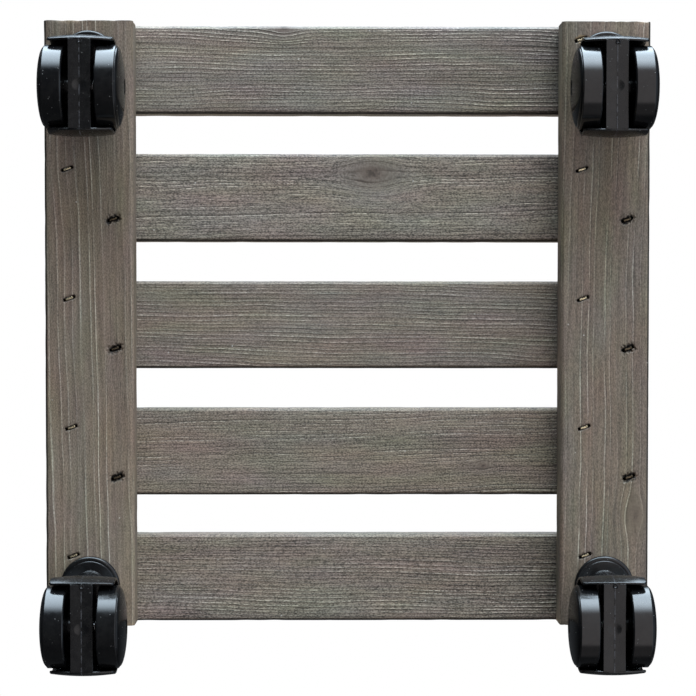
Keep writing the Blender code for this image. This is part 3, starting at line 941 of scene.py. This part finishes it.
class Caster:
    """The main sizes of one caster, read from the frame."""

    def __init__(self):
        name = "caster_front_left"
        stem, axle = middle(f"{name}_stem"), middle(f"{name}_axle")
        low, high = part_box(f"{name}_body")
        wheel_low, wheel_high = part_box(f"{name}_wheel_right")
        self.trail = axle.y - stem.y
        self.axle_height = axle.z
        self.hood_y = (low.y + high.y) / 2 - stem.y
        self.hood_radius = (high.y - low.y) / 2
        self.hood_half = (high.x - low.x) / 2
        self.lip = low.z
        self.neck_top = high.z
        self.wheel_radius = (wheel_high.z - wheel_low.z) / 2
        self.wheel_face = wheel_high.x - axle.x
        self.hub_face = wheel_low.x - axle.x
        self.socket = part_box(f"{name}_socket")
        self.stem_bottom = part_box(f"{name}_stem")[0].z
        self.axle_half = span(f"{name}_axle").x / 2


def hood_outline(half, half_run):
    """A plate with rounded corners and bowed ends, half by half_run from its middle."""
    flat = half - LIP_CORNER
    straight = half_run - LIP_BOW - LIP_CORNER
    outline = []
    for end, start in ((1, 0), (-1, pi)):
        outline += arc((end * flat, end * straight), LIP_CORNER, start, start + pi / 2, 8)[:-1]
        for share in (1 - 2 * i / 10 for i in range(11)):
            outline.append((end * flat * share, end * (half_run - LIP_BOW * share**2)))
        outline += arc((-end * flat, end * straight), LIP_CORNER, start + pi / 2, start + pi, 8)[1:]
    return outline


def hood_mesh(caster):
    """The arch: a flat plate with bowed ends, bent round the axle."""
    radius, half = caster.hood_radius, caster.hood_half
    half_run = radius * (pi / 2 + asin((caster.axle_height - caster.lip) / radius))
    plate = prism(hood_outline(half, half_run), 0, HOOD_WALL, lambda u, v, w: (u, v, w))
    bm = bmesh.new()
    bm.from_mesh(bevelled(mesh_from(plate, "plate"), 0.5 * MM, 4))
    for share in range(-40, 41):
        cut_at(bm, (0, half_run * share / 41, 0), (0, 1, 0))
    for share in range(-4, 5):
        cut_at(bm, (half * share / 5, 0, 0), (1, 0, 0))
    for vert in bm.verts:
        u, run, depth = vert.co
        angle = pi / 2 - run / radius
        away = radius - depth - HOOD_CROWN * (u / half) ** 2
        vert.co = (u, caster.hood_y + away * cos(angle), caster.axle_height + away * sin(angle))
    return mesh_from(bm, "hood")


def cut_at(bm, point, direction):
    geometry = bm.verts[:] + bm.edges[:] + bm.faces[:]
    bmesh.ops.bisect_plane(bm, geom=geometry, dist=1e-7, plane_co=point, plane_no=direction)


def web_mesh(caster):
    """The plate between the wheels, with rounded shoulders. Its foot sinks a little to the parting line."""
    radius = caster.hood_radius - HOOD_WALL / 2
    drop = asin((caster.axle_height - caster.lip) / radius)
    rim = arc((caster.hood_y, caster.axle_height), radius, -drop + 0.09, pi + drop - 0.09, 60)
    reach = radius * cos(drop)
    shoulder = 0.2 * MM
    ends = [(caster.hood_y + side * reach, caster.lip, shoulder) for side in (-1, 1)]
    foot = eased([(*rim[-1], 0), *ends, (*rim[0], 0)], 5)
    web = mesh_from(prism(rim[1:-1] + foot, -WEB_HALF, WEB_HALF, lambda u, v, w: (w, u, v)), "web")
    edge = WEB_HALF + MM
    below = caster.lip - FOOT_SINK * MM / WEB_HALF
    sunk = caster.lip + FOOT_SINK
    hollow = [(-edge, below), (0, sunk), (edge, below), (edge, below - MM), (-edge, below - MM)]
    start, stop = caster.hood_y - 2 * radius, caster.hood_y + 2 * radius
    cutter = mesh_from(prism(hollow, start, stop, lambda u, v, w: (u, w, v)), "hollow")
    return combined(bevelled(web, 0.4 * MM, 3), [cutter], "DIFFERENCE")


def neck_mesh(caster):
    """The round post that holds the stem."""
    base, top = caster.stem_bottom - 2 * MM, caster.neck_top
    profile = [(0, base, 0), (NECK_RADIUS, base, 0.4 * MM), (NECK_RADIUS, top, 0.5 * MM), (0, top, 0)]
    return mesh_from(turned(eased(profile), 64), "neck")


def collar_mesh(caster):
    """A low ring round the top of the neck."""
    low, high = caster.neck_top - 2.2 * MM, caster.neck_top - 0.5 * MM
    inner, outer = NECK_RADIUS - MM, NECK_RADIUS + 0.5 * MM
    profile = [(inner, low, 0), (outer, low, 0.3 * MM), (outer, high, 0.3 * MM), (inner, high, 0)]
    return mesh_from(turned(eased(profile), 64), "collar")


def seam_mesh(caster):
    """The parting line, a fine ridge along the web's foot."""
    half, low, high = 0.22 * MM, caster.lip - 0.24 * MM, caster.lip + MM
    outline = eased([(-half, high, 0), (half, high, 0), (half, low, 0.05 * MM), (-half, low, 0.05 * MM)], 2)
    reach = caster.hood_radius * 0.86
    ridge = prism(outline, caster.hood_y - reach, caster.hood_y + reach, lambda u, v, w: (u, w, v))
    return mesh_from(ridge, "seam")


def gate_mesh(caster):
    """The ragged ring where the moulding was cut from its runner, near the -Y end of the web's foot."""
    foot, edge = caster.lip, 1.3 * MM
    profile = [
        (0, foot - 0.05 * MM, 0),
        (0.5 * MM, foot - 0.1 * MM, 0.1 * MM),
        (0.8 * MM, foot - 0.6 * MM, 0.15 * MM),
        (edge, foot - 0.4 * MM, 0.15 * MM),
        (edge, foot + MM, 0),
        (0, foot + MM, 0),
    ]
    gate = turned(eased(profile), 20)
    for vert in gate.verts:
        vert.co += noise.noise_vector(vert.co * 900) * 0.35 * MM
    bmesh.ops.translate(gate, verts=gate.verts, vec=(0.2 * MM, caster.hood_y - 0.83 * caster.hood_radius, 0))
    return mesh_from(gate, "gate")


def bore_meshes(caster):
    """What is cut from the body: the stem's hole, the axle's hole and the shallow bowl under the axle."""
    bottom, top = caster.stem_bottom - 0.3 * MM, caster.neck_top + MM
    stem_bore = turned([(0, bottom), (STEM_BORE, bottom), (STEM_BORE, top), (0, top)], 48)
    end = 2 * WEB_HALF
    axle_bore = turned([(0, -end), (AXLE_BORE, -end), (AXLE_BORE, end), (0, end)], 48, "X")
    bmesh.ops.translate(axle_bore, verts=axle_bore.verts, vec=(0, caster.trail, caster.axle_height))
    foot, reach, sink = caster.lip, 4.7 * MM, 0.40 * MM
    shares = [i / 14 for i in range(15)]
    bowl = [(reach * share, foot - 0.01 * MM + sink * (cos(pi * share) + 1) / 2) for share in shares]
    dimple = turned(bowl + [(reach, foot - MM), (0, foot - MM)], 40)
    bmesh.ops.translate(dimple, verts=dimple.verts, vec=(0, caster.trail, 0))
    return [mesh_from(bm, "bore") for bm in (stem_bore, axle_bore, dimple)]


def body_mesh(caster):
    """Hood, web and neck in one moulding, with the parting line, the gate mark and the bores."""
    parts = [make(caster) for make in (web_mesh, neck_mesh, collar_mesh, seam_mesh, gate_mesh)]
    solid = combined(hood_mesh(caster), parts, "UNION")
    return smooth(combined(solid, bore_meshes(caster), "DIFFERENCE"))


def wheel_profile(caster):
    """Half a wheel's section, from its hub's inner end round its rim and cover to the end of its bore."""
    radius, face = caster.wheel_radius, caster.wheel_face
    cover, rise = radius - 0.7 * MM, face - SHOULDER
    corners = [
        (AXLE_BORE, caster.hub_face, 0.2 * MM),
        (HUB, caster.hub_face, 0.3 * MM),
        (HUB, DISC, 0.5 * MM),
        (RIM, DISC, 0.6 * MM),
        (RIM, RIM_FACE, 0.35 * MM),
        (radius - 0.5 * MM, RIM_FACE, 0.15 * MM),
        (radius, RIM_FACE + 0.5 * MM, 0.25 * MM),
        (radius, SHOULDER - 0.35 * MM, 0.45 * MM),
        (cover + 0.15 * MM, SHOULDER, 0.1 * MM),
        (cover - 0.1 * MM, SHOULDER - 0.15 * MM, 0.05 * MM),
    ]
    angles = [i * pi / 2 / 14 for i in range(13)]
    dome = [(cover * cos(a) - 0.12 * MM, SHOULDER + rise * sin(a)) for a in angles]
    dome += [(3.9 * MM, face - 0.06 * MM), (3.6 * MM, face - 0.35 * MM), (3.2 * MM, face - 0.40 * MM)]
    bore_end = caster.axle_half + 0.3 * MM
    return eased(corners) + dome + [(0, face - 0.34 * MM), (0, bore_end), (AXLE_BORE, bore_end)]


def rib_mesh():
    """One rib on a wheel's inner side, from its hub to its rim."""
    inner, outer, root = HUB - 0.5 * MM, RIM + 0.5 * MM, DISC + 0.5 * MM
    outline = [(inner, root), (inner, 11.2 * MM), (outer, 9.8 * MM), (outer, root)]
    return mesh_from(prism(outline, -0.5 * MM, 0.5 * MM, lambda u, v, w: (v, w, u)), "rib")


def wheel_mesh(caster, materials):
    """One wheel about X, domed towards +X. Its materials are for the rolling part and for the cover."""
    wheel = mesh_from(turned(wheel_profile(caster), 96, "X"), "wheel")
    rib = rib_mesh()
    ribs = joined([(rib, Matrix.Rotation(index * pi / 4 + 0.2, 4, "X")) for index in range(8)])
    wheel = smooth(combined(wheel, [ribs], "UNION"))
    for polygon in wheel.polygons:
        polygon.material_index = int(polygon.center.x > SHOULDER - 0.05 * MM)
    for material in materials:
        wheel.materials.append(material)
    return wheel


def socket_mesh(caster):
    """The flanged cup pressed into the rail: stepped disc with a boss below, sleeve with grip rings above."""
    low, high = caster.socket
    bore = 4.4 * MM
    boss, flange, sleeve = 7.7 * MM, (high.x - low.x) / 2, 5.4 * MM
    face = low.z + 0.8 * MM
    top = RAIL_FACE - 0.3 * MM
    corners = [
        (bore, low.z, 0.3 * MM),
        (boss, low.z, 0.3 * MM),
        (boss, face, 0.25 * MM),
        (flange - 2.6 * MM, face, 0),
        (flange - 2.4 * MM, face + 0.15 * MM, 0),
        (flange - 1.9 * MM, face + 0.15 * MM, 0),
        (flange - 1.7 * MM, face, 0),
        (flange, face, 1.2 * MM),
        (flange, top, 0.15 * MM),
        (sleeve, top, 0),
    ]
    for index in range(4):
        height = top + (5 + 5 * index) * MM
        grip = sleeve + 0.25 * MM
        corners += [(sleeve, height - 0.6 * MM, 0), (grip, height, 0), (sleeve, height + 0.1 * MM, 0)]
    inner_top = high.z - 1.2 * MM
    ring = middle("caster_front_left_ring").z
    corners += [
        (sleeve, high.z, 0.6 * MM),
        (0, high.z, 0),
        (0, inner_top, 0),
        (bore, inner_top, 0),
        (bore, ring + 1.2 * MM, 0),
        (4.85 * MM, ring + 1.2 * MM, 0),
        (4.85 * MM, ring - 1.2 * MM, 0),
        (bore, ring - 1.2 * MM, 0),
    ]
    return smooth(mesh_from(turned(eased(corners), 96), "socket"))


def caster_plastics():
    """The moulding's, the rolling part's, the cover's and the flange's plastic."""
    moulding = Plastic("caster_moulding", 0.0038, 0.25, 0.5, 0.35, 0.02)
    rolling = Plastic("caster_wheel", 0.0040, 0.15, 0.02, 0.6, 0.0)
    cover = Plastic("caster_cover", 0.0040, 0.15, 0.02, 0.6, 0.0, gloss=0.2)
    flange = Plastic("caster_flange", 0.0036, 0.22, 0.12, 0.4, 0.02)
    # paints a highlight along the parting line
    moulding.painted_seam_highlight()
    rolling.scratch_round()
    cover.scratch_round()
    return [plastic.done() for plastic in (moulding, rolling, cover, flange)]


def caster_steels():
    return {
        "stem": plated_steel("stem_steel", rgb(206, 208, 210), rgb(150, 150, 148), 0.26, (5, 5, 0.5)),
        "ring": plated_steel("ring_steel", rgb(150, 150, 152), rgb(90, 86, 80), 0.34, (4, 4, 8)),
        "axle": plated_steel("axle_steel", rgb(210, 210, 212), rgb(160, 156, 150), 0.22, (0.5, 5, 5)),
    }


def add_casters():
    caster = Caster()
    moulding, rolling, cover, flange = caster_plastics()
    body, socket = body_mesh(caster), socket_mesh(caster)
    wheel = wheel_mesh(caster, (rolling, cover))
    steels = caster_steels()
    for name in CASTERS:
        corner = name.removeprefix("caster_")
        stem, axle = middle(f"{name}_stem"), middle(f"{name}_axle")
        at_stem = (stem.x, stem.y, 0)
        add_piece(f"{name}_flanged_cup", socket, f"{name}_socket", "deck", flange, at_stem)
        swivel = f"{corner}_swivel"
        add_piece(f"{name}_moulding", body, f"{name}_body", swivel, moulding, at_stem)
        for hand, turn in (("left", pi), ("right", 0)):
            node, rider = f"{name}_wheel_{hand}", f"{corner}_wheel_{hand}"
            add_piece(f"{name}_tread_{hand}", wheel, node, rider, None, axle, turn)
        for part, steel in steels.items():
            cad = frame["nodes"][f"{name}_{part}"]
            cad.data.materials.clear()
            cad.data.materials.append(steel)


# Stage, lights and camera

CAMERA_BELOW_RAILS = 1.034
CAMERA_ASIDE = (-0.01168, 0.00472)
CAMERA_TILT = 0.03546
CAMERA_PAN = 0.01149
CAMERA_LENS = 107.7
CAMERA_SHIFT = 0.0862


def add_camera():
    """Under the caddy, looking up at the rails, with -Y at the top of the picture."""
    data = bpy.data.cameras.new("camera")
    data.lens = CAMERA_LENS
    data.sensor_width = 36
    data.shift_y = CAMERA_SHIFT
    data.clip_start = 0.05
    camera = bpy.data.objects.new("camera", data)
    ahead = Vector((sin(CAMERA_PAN), cos(CAMERA_PAN) * sin(CAMERA_TILT), cos(CAMERA_PAN) * cos(CAMERA_TILT)))
    down = Vector((0, cos(CAMERA_TILT), -sin(CAMERA_TILT)))
    right = down.cross(ahead)
    turn = Matrix((right, -down, -ahead)).transposed().to_4x4()
    place = (DECK.x + CAMERA_ASIDE[0], DECK.y + CAMERA_ASIDE[1], RAIL_FACE - CAMERA_BELOW_RAILS)
    camera.matrix_world = Matrix.Translation(place) @ turn
    bpy.context.scene.collection.objects.link(camera)
    bpy.context.scene.camera = camera


def add_sky():
    """A softbox over the back of the deck, for its top and far sides. Polished faces do not mirror it."""
    data = bpy.data.lights.new("sky", "AREA")
    data.shape = "RECTANGLE"
    data.size, data.size_y = 1.6, 1.6
    data.energy = 20
    light = bpy.data.objects.new("sky", data)
    light.location = (-0.6, 1.1, 1.3)
    aim = DECK - light.location
    light.rotation_euler = aim.to_track_quat("-Z", "Y").to_euler()
    light.visible_camera = False
    light.visible_glossy = False
    bpy.context.scene.collection.objects.link(light)


GLOW = 12.5
GLOW_BLUE = (0.72, 0.87, 1.0, 1)
ROOM_DARK = (0.05, 0.055, 0.06, 1)
ROOM_LIGHT = (1.05, 0.99, 1.0, 1)
ROOM_BLUE = (0.85, 1.02, 1.22, 1)


class Room(Paint):
    """The world's nodes, added with the same short calls."""

    def __init__(self, world):
        world.use_nodes = True
        self.tree = world.node_tree
        self.shader = self.tree.nodes["Background"]


def add_world():
    """A room for everything but the camera: a bluish glow in front, light below and to +X, dark elsewhere."""
    world = bpy.data.worlds.new("studio")
    room = Room(world)
    x, y, z = room.split(room.put("TexCoord", {}, "Generated"))
    forward = room.add(room.times(x, 0.10), room.times(y, -0.99), room.times(z, 0.10))
    glow = room.times(room.step(forward, 0.60, 0.97, 0.0, GLOW), room.step(room.size(x), 0.60, 0.25))
    ahead = room.step(y, 0.78, 0.68, 0.22, 1.0)
    lit = room.times(room.step(x, -0.10, 0.14), ahead, room.step(z, 0.05, -0.20))
    light = room.mix(room.step(x, 0.25, 0.85), ROOM_LIGHT, ROOM_BLUE)
    around = room.mix(lit, ROOM_DARK, light)
    around = room.mix(1.0, around, room.tinted(GLOW_BLUE, glow), "ADD")
    backdrop = room.put("LightPath", {}, "Is Camera Ray")
    room.feed(room.shader.inputs["Color"], room.mix(backdrop, around, (1, 1, 1, 1)))
    bpy.context.scene.world = world


def add_floor():
    """A pale floor, seen from above only, so that the caddy can also be looked at from below."""
    bm = bmesh.new()
    bmesh.ops.create_grid(bm, x_segments=24, y_segments=24, size=6.0)
    floor_obj = add_object("floor", mesh_from(bm, "floor"), (0, 0, -0.0004))
    paint = Paint("pale_floor")
    tint = paint.noise(paint.place(1.0), 3.0, 2.0)
    colour = paint.mix(tint, (0.78, 0.78, 0.77, 1), (0.82, 0.82, 0.81, 1))
    paint.finish(colour, 0.7)
    clear = paint.put("BsdfTransparent", {})
    behind = paint.put("NewGeometry", {}, "Backfacing")
    shown = paint.put("MixShader", {0: behind, 1: paint.shader.outputs[0], 2: clear})
    paint.tree.links.new(shown, paint.tree.nodes["Material Output"].inputs["Surface"])
    floor_obj.data.materials.append(paint.material)
    for ray in ("diffuse", "glossy", "shadow", "transmission"):
        setattr(floor_obj, f"visible_{ray}", False)


def main():
    bpy.context.scene.view_settings.view_transform = "Standard"
    for obj in [o for o in bpy.data.objects if o.type in ("LIGHT", "CAMERA") or o.name == "Cube"]:
        bpy.data.objects.remove(obj)
    add_camera()
    add_world()
    add_floor()
    add_sky()
    for node in RAILS + SLATS:
        add_board(node)
    add_staples()
    add_casters()


main()
